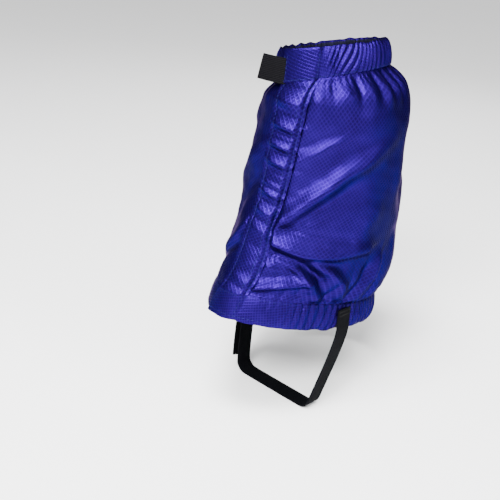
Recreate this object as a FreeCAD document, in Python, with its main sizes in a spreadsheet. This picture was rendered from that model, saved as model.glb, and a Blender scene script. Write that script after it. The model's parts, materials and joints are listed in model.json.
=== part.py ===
import FreeCAD, Part
import os

# A short hiking gaiter for a right foot.  Millimetres, +Z up, -Y towards the toe,
# +X towards the wearer's left, which is the inner side of this foot.
# The origin is the middle of the instep strap's upper face, where the boot's arch rests.

doc = FreeCAD.newDocument("gaiter")
sheet = doc.addObject("Spreadsheet::Sheet", "Sizes")
os.makedirs("parts", exist_ok=True)

# ---- driving dimensions -------------------------------------------------------------------

SIZES = {
    # the sleeve's height
    "base_height": 91, "panel_height": 173, "hem_height": 20,
    # cloth and webbing thicknesses
    "cloth": 1, "tape": 1, "webbing": 1.4, "tab_webbing": 1.2, "patch": 0.6,
    # widths across a strap, tape or strip
    "flap_width": 25, "tape_width": 17, "seam_tape_width": 12, "strap_width": 15, "tab_width": 19,
    # hem casing: how far it stands out of and into the sleeve, its walls and its elastic
    "casing_out": 1.6, "casing_in": 2.4, "casing_wall": 0.9, "elastic_gap": 0.3,
    "casing_margin": 0.12, "front_relief": 0.3,
    # clearances
    "layer_gap": 0.3, "split_gap": 0.6, "sewn_gap": 0.3,
    # the front opening
    "flap_edge": -4, "flap_lean": 2.5, "opening_y": -4,
    # top tab
    "tab_reach": 21, "tab_sewn": 14, "tab_splay": 17, "patch_length": 12, "patch_side": 15,
    "patch_inset": 1, "tab_gap": 0.5,
    # instep strap
    "sole_half_width": 41, "sole_corner": 9, "strap_hem_y": 15, "strap_sewn": 18.5,
    "strap_lap": 7, "strap_gap": 0.5, "sewn_start": 4.5, "tack": 1.2, "tack_raise": 0.5,
    "tack_inset": 1.5, "tack_low": 0.68, "tack_high": 0.88,
    # ladder lock
    "lock_height": 21, "lock_thick": 3, "lock_side": 2.6, "lock_bar": 3, "lock_from_hem": 12,
    "lock_clear": 0.4, "lock_slot": 5.4, "lock_edge": 0.8, "turn_clear": 0.2,
    "strap_to_lock": 4, "tab_head": 3, "tail_length": 31,
    # lace hook
    "hook_x": 14, "hook_width": 11, "hook_metal": 1.1, "hook_plate": 11, "hook_mouth": 5,
    "hook_lip": 6, "hook_tab_width": 8, "hook_clear": 0.25, "hook_bar": 2, "hook_inset": 6,
    "hook_drop": 4,
}

# Rings of the sleeve from the lower edge to the rim: height as a share of the panel's height,
# centre in Y, half width in X, half depth in Y, forward pitch and sideways tilt in degrees.
RINGS = {
    "edge": (None, 13, 48, 89, -13, 0),
    "base": (0.0, 18, 47, 86, -13, 0),
    "ankle": (0.11, 28.5, 53, 86, -10, 0),
    "lower": (0.27, 33.5, 53, 82, -7, 0),
    "middle": (0.48, 37, 55.5, 72.5, -4, 1),
    "upper": (0.70, 38.5, 55, 68, 0, 3),
    "shoulder": (0.85, 38.5, 55, 64, 2, 5),
    "puff": (0.935, 37.5, 48, 60, 1, 10),
    "neck": (1.0, 33, 39, 50, -0.7, 12.5),
    "rim": (None, 31, 36, 46, -0.7, 12.5),
}
PANEL_RINGS = ("base", "ankle", "lower", "middle", "upper", "shoulder", "puff", "neck")
RING_VALUES = ("share", "centre", "half_width", "half_depth", "pitch", "tilt")


def fill_sheet():
    """Write every driving dimension to the sheet, each with a word as its alias."""
    rows = dict(SIZES)
    for ring, values in RINGS.items():
        for word, value in zip(RING_VALUES, values):
            if value is not None:
                rows[ring + "_" + word] = value
    for row, (alias, value) in enumerate(rows.items(), start=1):
        sheet.set("A%d" % row, alias)
        sheet.set("B%d" % row, str(value))
        sheet.setAlias("B%d" % row, alias)
    doc.recompute()
    return {alias: "Sizes." + alias for alias in rows}


S = fill_sheet()


def v(name):
    """The sheet's value, as an expression."""
    return S[name]


# ---- small builders -----------------------------------------------------------------------


def bound(kind, name, **sizes):
    """A Part object whose properties are expressions."""
    item = doc.addObject(kind, name)
    for key, expression in sizes.items():
        item.setExpression(key, expression)
    return item


def place(item, *steps):
    """Placement from steps: a ("at", x, y, z) shift or a ("x"|"y"|"z", degrees) turn."""
    item.setExpression("Placement", place_text(*steps))
    return item


def place_text(*steps):
    axes = {"x": "1;0;0", "y": "0;1;0", "z": "0;0;1"}
    words = []
    for step in steps:
        if step[0] == "at":
            words.append("placement(vector(%s; %s; %s); rotation(vector(1;0;0); 0))" % step[1:])
        else:
            words.append("placement(vector(0;0;0); rotation(vector(%s); %s))"
                         % (axes[step[0]], step[1]))
    return " * ".join(words)


def box(name, low, high, *steps):
    """A box between two corners, both lists of expressions, then moved by the steps."""
    spans = ["(%s) - (%s)" % (b, a) for a, b in zip(low, high)]
    item = bound("Part::Box", name, Length=spans[0], Width=spans[1], Height=spans[2])
    return place(item, *steps, ("at", *low))


def round_bar(name, radius, length, angle, *steps):
    """A cylinder, or a sector of one, about its own Z axis."""
    item = bound("Part::Cylinder", name, Radius=radius, Height=length, Angle=angle)
    return place(item, *steps)


def cut(name, base, tool):
    item = doc.addObject("Part::Cut", name)
    item.Base, item.Tool = base, tool
    return item


def fuse(name, *shapes):
    item = doc.addObject("Part::MultiFuse", name)
    item.Shapes = list(shapes)
    return item


def common(name, *shapes):
    item = doc.addObject("Part::MultiCommon", name)
    item.Shapes = list(shapes)
    return item


# ---- the sleeve's rings -------------------------------------------------------------------


def ring_height(ring):
    if ring == "edge":
        return "(%s - %s)" % (v("base_height"), v("hem_height"))
    if ring == "rim":
        return "(%s + %s + %s)" % (v("base_height"), v("panel_height"), v("hem_height"))
    return "(%s + %s * %s)" % (v("base_height"), v("panel_height"), v(ring + "_share"))


def ring_value(ring, word):
    return ring_height(ring) if word == "height" else v(ring + "_" + word)


def between(low, high, share):
    """Values of a ring that lies a share of the way from one ring to the next."""
    words = ("height", "centre", "half_width", "half_depth", "pitch", "tilt")
    mix = "(%s * (1 - (%s)) + %s * (%s))"
    return {w: mix % (ring_value(low, w), share, ring_value(high, w), share) for w in words}


def whole_ring(ring):
    words = ("height", "centre", "half_width", "half_depth", "pitch", "tilt")
    return {w: ring_value(ring, w) for w in words}


def ellipse(name, ring, grow):
    """A ring's outline, moved outwards by grow."""
    item = bound("Part::Ellipse", name, MajorRadius="%s + (%s)" % (ring["half_depth"], grow),
                 MinorRadius="%s + (%s)" % (ring["half_width"], grow))
    return place(item, ("at", "0", ring["centre"], ring["height"]), ("y", "-" + ring["tilt"]),
                 ("x", ring["pitch"]), ("z", "90"))


def sleeve_loft(name, rings, grow):
    item = doc.addObject("Part::Loft", name)
    item.Sections = [ellipse("%s_ring%d" % (name, i), ring, grow) for i, ring in enumerate(rings)]
    item.Solid = True
    return item


def shell(name, rings, outer, inner):
    """The space between two sleeves, one inside the other."""
    return cut(name, sleeve_loft(name + "_out", rings, outer),
               sleeve_loft(name + "_in", rings, inner))


def on_ring(ring, x, grow):
    """Y and Z of the point at x on the front of a ring that is moved outwards by grow."""
    depth = "((%s + (%s)) * sqrt(1 - pow((%s) / (%s + (%s)); 2)))" % (
        ring["half_depth"], grow, x, ring["half_width"], grow)
    y = "(%s - %s * cos(%s))" % (ring["centre"], depth, ring["pitch"])
    z = "(%s - %s * sin(%s) + (%s) * sin(%s))" % (
        ring["height"], depth, ring["pitch"], x, ring["tilt"])
    return y, z


# Far enough to cover the whole sleeve from any side.
FAR = "400"
PANEL = [whole_ring(ring) for ring in PANEL_RINGS]
MID_HEIGHT = "(%s + %s / 2)" % (v("base_height"), v("panel_height"))
LEAN = (("at", v("flap_edge"), "0", MID_HEIGHT), ("y", v("flap_lean")))


def front_strip(name, start, end):
    """The front of the sleeve between two distances from the flap's free edge."""
    return box(name, [start, "-" + FAR, "-" + FAR], [end, v("opening_y"), FAR], *LEAN)


def side_box(name, x_low, x_high, y_low, y_high):
    return box(name, [x_low, y_low, "-" + FAR], [x_high, y_high, FAR])


# ---- sleeve panels, flap and closure tapes ------------------------------------------------

TAPE_TOP = v("tape")
HOOK_LOW = "(%s + %s)" % (TAPE_TOP, v("layer_gap"))
HOOK_TOP = "(%s + %s)" % (HOOK_LOW, v("tape"))
FLAP_TOP = "(%s + %s)" % (HOOK_TOP, v("cloth"))
RISER = "(2 * %s)" % v("cloth")
FLAP_INNER = "(%s - %s)" % (v("flap_width"), RISER)
UNDERLAP = "(%s - %s)" % (FLAP_INNER, v("split_gap"))
TAPE_MARGIN = "((%s - %s) / 2)" % (FLAP_INNER, v("tape_width"))


def make_panels():
    cloth = shell("panel_cloth", PANEL, "0", "-" + v("cloth"))
    half = "(%s / 2)" % v("split_gap")
    left = fuse("left_region",
                side_box("left_side", "-" + FAR, "-" + half, "-" + FAR, FAR),
                common("underlap_region", side_box("underlap_side", "-" + v("split_gap"), FAR, "-" + FAR, "0"),
                       front_strip("underlap_strip", "-" + FAR, UNDERLAP)))
    rear = side_box("rear_region", half, FAR, "%s + %s" % (v("opening_y"), half), FAR)
    front = front_strip("front_region", FLAP_INNER, FAR)
    front = common("front_side", front,
                   side_box("front_half", "0", FAR, "-" + FAR,
                            "%s - %s" % (v("opening_y"), half)))
    common("left_panel", cloth, left)
    common("right_rear_panel", cloth, rear)
    common("right_front_panel", cloth, front)
    seam = shell("seam_cloth", PANEL, "-" + v("cloth"), "-2 * " + v("cloth"))
    half_seam = "(%s / 2)" % v("seam_tape_width")
    common("back_seam_tape", seam,
           side_box("seam_region", "-" + half_seam, half_seam, v("middle_centre"), FAR))
    return ("left_panel", "right_rear_panel", "right_front_panel", "back_seam_tape")


def make_flap():
    strip = common("flap_strip", shell("flap_cloth", PANEL, FLAP_TOP, HOOK_TOP),
                   front_strip("flap_region", "0", v("flap_width")))
    riser = common("flap_riser", shell("riser_cloth", PANEL, FLAP_TOP, "0"),
                   front_strip("riser_region", FLAP_INNER, v("flap_width")))
    fuse("front_flap", strip, riser)
    tape_end = "(%s + %s)" % (TAPE_MARGIN, v("tape_width"))
    common("closure_hook_tape", shell("hook_side", PANEL, HOOK_TOP, HOOK_LOW),
           front_strip("hook_region", TAPE_MARGIN, tape_end))
    common("closure_loop_tape", shell("loop_side", PANEL, TAPE_TOP, "0"),
           front_strip("loop_region", TAPE_MARGIN, tape_end))
    return ("front_flap", "closure_hook_tape", "closure_loop_tape")


# ---- hems and elastics --------------------------------------------------------------------


def make_hem(name, low, high):
    """A casing with an elastic in its tunnel, each split where the front opens."""
    rings = [whole_ring(low), whole_ring(high)]
    margin = v("casing_margin")
    inside = [between(low, high, margin), between(low, high, "1 - " + margin)]
    spare = "(%s + %s / %s)" % (margin, v("elastic_gap"), v("hem_height"))
    elastic = [between(low, high, spare), between(low, high, "1 - " + spare)]
    wall = v("casing_wall")
    tunnel = shell(name + "_tunnel", inside, "%s - %s" % (v("casing_out"), wall),
                   "%s - %s" % (wall, v("casing_in")))
    band = shell(name + "_band", elastic,
                 "%s - %s - %s" % (v("casing_out"), wall, v("elastic_gap")),
                 "%s + %s - %s" % (wall, v("elastic_gap"), v("casing_in")))
    casing = cut(name + "_casing",
                 shell(name + "_ring", rings, v("casing_out"), "-" + v("casing_in")), tunnel)
    relieved = cut(name + "_relieved", casing,
                   sleeve_loft(name + "_relief", rings,
                               "%s - %s" % (v("front_relief"), v("casing_in"))))
    moving = front_strip(name + "_moving", "0", FAR)
    fixed = box(name + "_fixed", ["-" + v("split_gap"), "-" + FAR, "-" + FAR],
                [FAR, "%s + %s" % (v("opening_y"), v("split_gap")), FAR], *LEAN)
    common(name + "_hem_front", relieved, moving)
    cut(name + "_hem", casing, fixed)
    common(name + "_elastic_front", band, moving)
    cut(name + "_elastic", band, fixed)
    return tuple(name + end for end in ("_hem_front", "_hem", "_elastic_front", "_elastic"))


# ---- top tab ------------------------------------------------------------------------------


def make_top_tab():
    """Webbing sewn behind the flap at the rim, sticking out past the flap's free edge."""
    half = "(%s / 2)" % v("tab_width")
    middle = between("neck", "rim", "0.5")
    edge_x = "(%s + (%s - %s) * sin(%s))" % (
        v("flap_edge"), middle["height"], MID_HEIGHT, v("flap_lean"))
    sewn_in = "(%s + %s)" % (v("casing_out"), v("layer_gap"))
    sewn_out = "(%s + %s)" % (sewn_in, v("tab_webbing"))
    y, z = on_ring(middle, edge_x, sewn_out)
    low_y, low_z = on_ring(whole_ring("neck"), edge_x, sewn_out)
    high_y, high_z = on_ring(whole_ring("rim"), edge_x, sewn_out)
    slope = "atan2(%s - %s; %s - %s)" % (high_y, low_y, high_z, low_z)
    # x runs along the tab towards the leg's inner side, y into the leg, z up the flap's edge
    splay = (("at", edge_x, y, z), ("x", "-" + slope), ("z", v("tab_splay")))
    reach = v("tab_reach")
    box("top_tab", ["-" + reach, "0", "-" + half],
        ["-" + v("tab_gap"), v("tab_webbing"), half], *splay)
    patch_top = "(%s + %s)" % (v("tab_webbing"), v("patch"))
    patch_half = "(%s / 2)" % v("patch_side")
    patch_far = "(%s - %s)" % (v("patch_inset"), reach)
    patch_near = "(%s + %s)" % (patch_far, v("patch_length"))
    box("tab_hook_patch", [patch_far, v("tab_webbing"), "-" + patch_half],
        [patch_near, patch_top, patch_half], *splay)

    def hem_patch(name, high, inner, outer, x_low, x_high):
        share = "%s / (2 * %s)" % (high, v("hem_height"))
        rings = [between("neck", "rim", "0.5 - " + share),
                 between("neck", "rim", "0.5 + " + share)]
        common(name, shell(name + "_cloth", rings, outer, inner),
               side_box(name + "_region", x_low, x_high, "-" + FAR, "0"))

    hem_patch("tab_sewn_end", v("tab_width"), sewn_in, sewn_out, "%s + %s" % (edge_x, v("layer_gap")),
              "%s + %s" % (edge_x, v("tab_sewn")))
    hem_patch("top_flap_end", v("hem_height"), "%s + %s" % (sewn_out, v("layer_gap")),
              "%s + %s + %s" % (sewn_out, v("layer_gap"), v("cloth")), edge_x,
              "%s + %s" % (edge_x, v("flap_width")))
    hem_patch("tab_loop_patch", v("patch_side"), v("casing_out"),
              "%s + %s" % (v("casing_out"), v("patch")),
              "%s + %s" % (edge_x, patch_far), "%s + %s" % (edge_x, patch_near))
    return ("tab_sewn_end", "top_flap_end", "top_tab", "tab_hook_patch", "tab_loop_patch")


# ---- instep strap -------------------------------------------------------------------------

HEM_X = "(max(%s; %s) + %s + %s)" % (
    v("edge_half_width"), v("base_half_width"), v("casing_out"), v("sewn_gap"))
HEM_Z = ring_height("edge")
CORNER_X = "(%s - %s)" % (v("sole_half_width"), v("sole_corner"))
LEG_X = "(%s + %s + %s)" % (HEM_X, v("webbing"), v("strap_gap"))
RUN_X = "(%s - %s)" % (LEG_X, CORNER_X)
RUN_Z = "(%s - %s)" % (HEM_Z, v("sole_corner"))
RUN = "hypot(%s; %s)" % (RUN_X, RUN_Z)
# the leg leaves its corner at a tangent and reaches the hem's lower edge
SPREAD = "(acos(%s / %s) - atan2(%s; %s))" % (v("sole_corner"), RUN, RUN_Z, RUN_X)
LEG = "sqrt(pow(%s; 2) - pow(%s; 2))" % (RUN, v("sole_corner"))
FORWARD = "atan2(%s; %s)" % (v("strap_hem_y"), LEG)
LEG_LENGTH = "hypot(%s; %s)" % (LEG, v("strap_hem_y"))
STRAP_HALF = "(%s / 2)" % v("strap_width")


def leg_frame(side):
    """Steps to a leg's foot: x outwards from the leg's inner face, z up the leg."""
    turn = () if side > 0 else (("z", "180"),)
    lean = ("x", "-" + FORWARD) if side > 0 else ("x", FORWARD)
    foot_x = "(%s + %s * cos(%s))" % (CORNER_X, v("sole_corner"), SPREAD)
    foot_z = "(%s - %s * sin(%s))" % (v("sole_corner"), v("sole_corner"), SPREAD)
    return turn + (("at", foot_x, "0", foot_z), ("y", SPREAD), lean)


def corner(name, side):
    turn = () if side > 0 else (("z", "180"),)
    steps = turn + (("at", CORNER_X, STRAP_HALF, v("sole_corner")), ("x", "90"), ("z", "-90"))
    angle = "90 deg - " + SPREAD
    outer = round_bar(name + "_out", "%s + %s" % (v("sole_corner"), v("webbing")),
                      v("strap_width"), angle, *steps)
    inner = round_bar(name + "_in", v("sole_corner"), v("strap_width"), angle, *steps)
    return cut(name, outer, inner)


LOCK_TOP = "(%s - %s)" % (LEG_LENGTH, v("lock_from_hem"))
LOCK_LOW = "(%s - %s)" % (LOCK_TOP, v("lock_height"))
# webbing turns round a bar just clear of the bar's corners
TURN_IN = "(hypot(%s; %s) / 2 + %s)" % (v("lock_thick"), v("lock_bar"), v("turn_clear"))
TURN_OUT = "(%s + %s)" % (TURN_IN, v("webbing"))
TAB_TURN_OUT = "(%s + %s)" % (TURN_IN, v("tab_webbing"))
LOCK_MID = TURN_OUT
LOCK_IN = "(%s - %s / 2)" % (LOCK_MID, v("lock_thick"))
LOCK_OUT = "(%s + %s / 2)" % (LOCK_MID, v("lock_thick"))
MID_BAR_TOP = "(%s - %s - %s)" % (LOCK_TOP, v("lock_bar"), v("lock_slot"))
MID_BAR_LOW = "(%s - %s)" % (MID_BAR_TOP, v("lock_bar"))


def loop_over_bar(name, centre_z, radius_in, radius_out, up, frame):
    """Half a turn of webbing over a bar of the lock: above it, or below it."""
    start = "0" if up else "180"
    steps = frame + (("at", LOCK_MID, STRAP_HALF, centre_z), ("x", "90"), ("z", start))
    outer = round_bar(name + "_out", radius_out, v("strap_width"), "180", *steps)
    inner = round_bar(name + "_in", radius_in, v("strap_width"), "180", *steps)
    return cut(name, outer, inner)


def make_strap():
    flat = box("strap_flat", ["-" + CORNER_X, "-" + STRAP_HALF, "-" + v("webbing")],
               [CORNER_X, STRAP_HALF, "0"])
    inner_leg = box("strap_inner_leg", ["0", "-" + STRAP_HALF, "0"],
                    [v("webbing"), STRAP_HALF, "%s + %s" % (LEG_LENGTH, v("strap_lap"))],
                    *leg_frame(1))
    outer_leg = box("strap_outer_leg", ["0", "-" + STRAP_HALF, "0"],
                    [v("webbing"), STRAP_HALF, "%s - %s" % (LOCK_LOW, v("strap_to_lock"))],
                    *leg_frame(-1))
    fuse("instep_strap", flat, corner("strap_corner_inner", 1), corner("strap_corner_outer", -1),
         inner_leg, outer_leg)
    top = "%s + %s" % (HEM_Z, v("strap_sewn"))
    y_low = "%s - %s" % (v("strap_hem_y"), STRAP_HALF)
    y_high = "%s + %s" % (v("strap_hem_y"), STRAP_HALF)
    start = "%s + %s" % (HEM_Z, v("sewn_start"))
    box("strap_anchor", [HEM_X, y_low, start], ["%s + %s" % (HEM_X, v("webbing")), y_high, top])
    face = "%s + %s" % (HEM_X, v("webbing"))
    raised = "%s + %s" % (face, v("tack_raise"))
    tacks = []
    for share in ("tack_low", "tack_high"):
        low = "%s + %s * %s" % (HEM_Z, v("strap_sewn"), v(share))
        tacks.append(box(share + "_bar", [face, "%s + %s" % (y_low, v("tack_inset")), low],
                         [raised, "%s - %s" % (y_high, v("tack_inset")),
                          "%s + %s" % (low, v("tack"))]))
    fuse("strap_bar_tacks", *tacks)
    return ("instep_strap", "strap_anchor", "strap_bar_tacks")


def make_lock():
    frame = leg_frame(-1)
    half = "(%s + %s + %s)" % (STRAP_HALF, v("lock_clear"), v("lock_side"))
    slot_half = "(%s + %s)" % (STRAP_HALF, v("lock_clear"))
    body = box("lock_body", [LOCK_IN, "-" + half, LOCK_LOW], [LOCK_OUT, half, LOCK_TOP], *frame)
    rounded = bound("Part::Fillet", "lock_rounded")
    rounded.Base = body
    radius = SIZES["lock_edge"]
    rounded.Edges = [(edge, radius, radius) for edge in (1, 3, 5, 7)]
    upper = box("upper_slot", ["0", "-" + slot_half, MID_BAR_TOP],
                [FAR, slot_half, "%s - %s" % (LOCK_TOP, v("lock_bar"))], *frame)
    lower = box("lower_slot", ["0", "-" + slot_half, "%s + %s" % (LOCK_LOW, v("lock_bar"))],
                [FAR, slot_half, MID_BAR_LOW], *frame)
    cut("ladder_lock", rounded, fuse("lock_slots", upper, lower))

    turn_z = "(%s - %s / 2)" % (MID_BAR_TOP, v("lock_bar"))
    turn = loop_over_bar("thread_turn", turn_z, TURN_IN, TURN_OUT, True, frame)
    front_in = "(%s + %s)" % (LOCK_MID, TURN_IN)
    front_out = "(%s + %s)" % (LOCK_MID, TURN_OUT)
    back_in = "(%s - %s)" % (LOCK_MID, TURN_OUT)
    back_out = "(%s - %s)" % (LOCK_MID, TURN_IN)
    back = box("thread_back", [back_in, "-" + STRAP_HALF, "%s - %s" % (LOCK_LOW, v("strap_to_lock"))],
               [back_out, STRAP_HALF, turn_z], *frame)
    front = box("thread_front", [front_in, "-" + STRAP_HALF, LOCK_LOW],
                [front_out, STRAP_HALF, turn_z], *frame)
    fuse("strap_thread", back, turn, front)
    box("strap_tail", [front_in, "-" + STRAP_HALF, "%s - %s" % (LOCK_LOW, v("tail_length"))],
        [front_out, STRAP_HALF, LOCK_LOW], *frame)

    tab_z = "(%s - %s / 2)" % (LOCK_TOP, v("lock_bar"))
    tab_turn = loop_over_bar("tab_turn", tab_z, TURN_IN, TAB_TURN_OUT, False, frame)
    tab_top = "(%s + %s)" % (LEG_LENGTH, v("strap_lap"))
    tab_in = "(%s - %s)" % (LOCK_MID, TAB_TURN_OUT)
    tab_out = "(%s + %s)" % (LOCK_MID, TAB_TURN_OUT)
    tab_back = box("tab_back", [tab_in, "-" + STRAP_HALF, tab_z],
                   ["%s - %s" % (LOCK_MID, TURN_IN), STRAP_HALF, tab_top], *frame)
    tab_front = box("tab_front", ["%s + %s" % (LOCK_MID, TURN_IN), "-" + STRAP_HALF, tab_z],
                    [tab_out, STRAP_HALF, tab_top], *frame)
    tab_head = box("tab_head", [tab_in, "-" + STRAP_HALF, "%s - %s" % (tab_top, v("tab_head"))],
                   [tab_out, STRAP_HALF, tab_top], *frame)
    fuse("lock_tab", tab_back, tab_turn, tab_front, tab_head)

    y_low = "%s - %s" % (v("strap_hem_y"), STRAP_HALF)
    y_high = "%s + %s" % (v("strap_hem_y"), STRAP_HALF)
    box("lock_tab_anchor", ["-%s - %s" % (HEM_X, v("webbing")), y_low,
                            "%s + %s" % (HEM_Z, v("sewn_start"))],
        ["-" + HEM_X, y_high, "%s + %s" % (HEM_Z, v("strap_sewn"))])
    return ("ladder_lock", "strap_thread", "strap_tail", "lock_tab", "lock_tab_anchor")


# ---- lace hook ----------------------------------------------------------------------------


def make_lace_hook():
    """A bent metal hook that hangs from a webbing loop inside the front of the lower hem."""
    inside = "%s - %s" % (v("front_relief"), v("casing_in"))
    tab_side = "(%s + %s / 2)" % (v("hook_x"), v("hook_tab_width"))
    y, z = on_ring(whole_ring("base"), tab_side, inside)
    pivot_y = "(%s + %s)" % (y, v("hook_inset"))
    pivot_z = "(%s - %s)" % (z, v("hook_drop"))
    x_mid = v("hook_x")
    frame = (("at", x_mid, pivot_y, pivot_z),)
    half = "(%s / 2)" % v("hook_width")
    metal = "(%s / 2)" % v("hook_metal")
    slot = "(%s / 2 + %s)" % (v("hook_tab_width"), v("hook_clear"))
    plate_low = "-" + v("hook_plate")
    bar = v("hook_bar")
    turn_in = "(%s + %s)" % (metal, v("hook_clear"))
    turn_out = "(%s + %s)" % (turn_in, v("tab_webbing"))
    plate = box("hook_plate_body", ["-" + half, "-" + metal, plate_low],
                [half, metal, "%s / 2" % bar], *frame)
    window = box("hook_window", ["-" + slot, "-" + FAR, "-%s / 2 - 2 * %s - %s" % (
        bar, v("tab_webbing"), v("hook_metal"))], [slot, FAR, "-%s / 2" % bar], *frame)
    mouth = "(%s / 2)" % v("hook_mouth")
    bend = (("at", "-" + half, "%s + %s" % (mouth, metal), plate_low), ("y", "90"),
            ("z", "90"))
    bend_steps = frame + bend
    curl_out = round_bar("curl_out", "%s + %s" % (mouth, v("hook_metal")), v("hook_width"),
                         "360", *bend_steps)
    curl_in = round_bar("curl_in", mouth, v("hook_width"), "360", *bend_steps)
    upper = box("curl_upper", ["-" + FAR, "-" + FAR, plate_low], [FAR, FAR, FAR], *frame)
    curl = cut("hook_curl", cut("curl_tube", curl_out, curl_in), upper)
    lip_y = "(%s + 2 * %s)" % (metal, mouth)
    lip = box("hook_lip_body", ["-" + half, lip_y, plate_low],
              [half, "%s + %s" % (lip_y, v("hook_metal")),
               "%s + %s" % (plate_low, v("hook_lip"))], *frame)
    fuse("lace_hook", cut("hook_windowed", plate, window), curl, lip)

    tab_half = "(%s / 2)" % v("hook_tab_width")
    side = ("at", "-" + tab_half, "0", "0")
    lower = frame + (side, ("y", "90"))
    loop_out = round_bar("loop_out", "%s / 2 + %s + %s" % (bar, v("hook_clear"),
                                                          v("tab_webbing")),
                         v("hook_tab_width"), "360", *lower)
    loop_in = round_bar("loop_in", "%s / 2 + %s" % (bar, v("hook_clear")),
                        v("hook_tab_width"), "360", *lower)
    loop = cut("hook_loop", loop_out, loop_in)
    reach = "(%s - %s)" % (v("hook_inset"), v("sewn_gap"))
    stalk_low = "(%s / 2 + %s)" % (bar, v("hook_clear"))
    stalk_high = "(%s + %s)" % (stalk_low, v("tab_webbing"))
    stalk = box("hook_stalk", ["-" + tab_half, "-" + reach, stalk_low],
                [tab_half, "0", stalk_high], *frame)
    fuse("hook_tab", loop, stalk)
    return ("lace_hook", "hook_tab")


# ---- build, check and write ---------------------------------------------------------------


def check_and_write(names):
    doc.recompute()
    for item in doc.Objects:
        if "Invalid" in item.State or "Error" in item.State:
            raise RuntimeError("%s failed: %s" % (item.Name, item.State))
    for name in names:
        item = doc.getObject(name)
        item.Label = name
        shape = item.Shape
        if shape.isNull() or not shape.isValid() or not shape.Solids:
            raise RuntimeError("%s has no valid solid" % name)
    for name in names:
        shape = doc.getObject(name).Shape
        shape.exportStep("parts/%s.step" % name)
        print("%-22s solids %d  volume %9.1f" % (name, len(shape.Solids), shape.Volume))


NODES = make_panels() + make_flap()
NODES += make_hem("bottom", "edge", "base") + make_hem("top", "neck", "rim")
NODES += make_top_tab() + make_strap() + make_lock() + make_lace_hook()
check_and_write(NODES)
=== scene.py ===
import json
import math
import bpy
import numpy as np
from mathutils import Matrix, Vector
from mathutils.bvhtree import BVHTree


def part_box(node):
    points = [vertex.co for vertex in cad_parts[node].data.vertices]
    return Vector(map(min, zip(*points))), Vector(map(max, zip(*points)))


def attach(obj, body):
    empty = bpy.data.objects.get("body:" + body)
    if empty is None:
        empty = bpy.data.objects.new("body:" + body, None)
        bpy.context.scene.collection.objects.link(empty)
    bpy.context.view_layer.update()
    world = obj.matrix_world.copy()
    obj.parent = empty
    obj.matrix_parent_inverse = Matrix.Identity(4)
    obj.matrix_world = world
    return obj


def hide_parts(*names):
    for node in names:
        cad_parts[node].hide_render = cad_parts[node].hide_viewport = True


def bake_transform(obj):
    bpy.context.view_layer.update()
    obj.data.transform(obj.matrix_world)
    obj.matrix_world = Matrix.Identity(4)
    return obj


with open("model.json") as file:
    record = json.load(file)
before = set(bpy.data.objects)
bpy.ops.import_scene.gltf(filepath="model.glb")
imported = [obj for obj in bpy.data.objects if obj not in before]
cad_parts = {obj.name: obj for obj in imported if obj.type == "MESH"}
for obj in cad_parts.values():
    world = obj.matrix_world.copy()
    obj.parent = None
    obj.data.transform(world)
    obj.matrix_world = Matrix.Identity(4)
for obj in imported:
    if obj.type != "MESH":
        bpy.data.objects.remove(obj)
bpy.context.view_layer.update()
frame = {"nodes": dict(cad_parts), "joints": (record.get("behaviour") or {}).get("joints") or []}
MM = 0.001

# Rings of the sleeve, in mm and degrees, as the design has them: height, centre in Y,
# half width in X, half depth in Y, forward pitch, sideways tilt.
RINGS = np.array([
    (71.0, 13.0, 48.0, 89.0, -13.0, 0.0),      # lower edge
    (91.0, 18.0, 47.0, 86.0, -13.0, 0.0),      # lower hem's seam
    (110.0, 28.5, 53.0, 86.0, -10.0, 0.0),
    (137.7, 33.5, 53.0, 82.0, -7.0, 0.0),
    (174.0, 37.0, 55.5, 72.5, -4.0, 1.0),
    (212.1, 38.5, 55.0, 68.0, 0.0, 3.0),
    (238.1, 38.5, 55.0, 64.0, 2.0, 5.0),
    (252.8, 37.5, 48.0, 60.0, 1.0, 10.0),
    (264.0, 33.0, 39.0, 50.0, 3.6, 12.8),      # upper hem's seam
    (284.0, 31.0, 36.0, 46.0, 2.4, 10.0),      # rim
])
EDGE, BASE, NECK, RIM = 71.0, 91.0, 264.0, 284.0
HEM = 20.0
RUFFLED = 1.12            # the upper casing stands this much taller between its gathers
ARC = 1.1                 # mm of cloth for a degree round the sleeve


# ---- the sleeve's surface -----------------------------------------------------------------


def ring_values(height):
    """Centre, half width, half depth, pitch and tilt at each height, smooth along the sleeve."""
    height = np.asarray(height, float)
    knots = RINGS[1:9]
    slopes = np.gradient(knots[:, 1:], knots[:, 0], axis=0)
    inside = np.clip(height, BASE, NECK)
    index = np.clip(np.searchsorted(knots[:, 0], inside, side="right") - 1, 0, len(knots) - 2)
    low, high = knots[index], knots[index + 1]
    span = (high[..., 0] - low[..., 0])[..., None]
    share = ((inside - low[..., 0])[..., None]) / span
    ease = share * share * (3 - 2 * share)
    body = (low[..., 1:] * (1 - ease) + high[..., 1:] * ease
            + slopes[index] * span * share * (1 - share) ** 2
            - slopes[index + 1] * span * share ** 2 * (1 - share))
    lower = RINGS[0, 1:] + (RINGS[1, 1:] - RINGS[0, 1:]) * ((height - EDGE) / HEM)[..., None]
    upper = RINGS[8, 1:] + (RINGS[9, 1:] - RINGS[8, 1:]) * ((height - NECK) / HEM)[..., None]
    body = np.where((height < BASE)[..., None], lower, body)
    return np.where((height > NECK)[..., None], upper, body)


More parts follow.
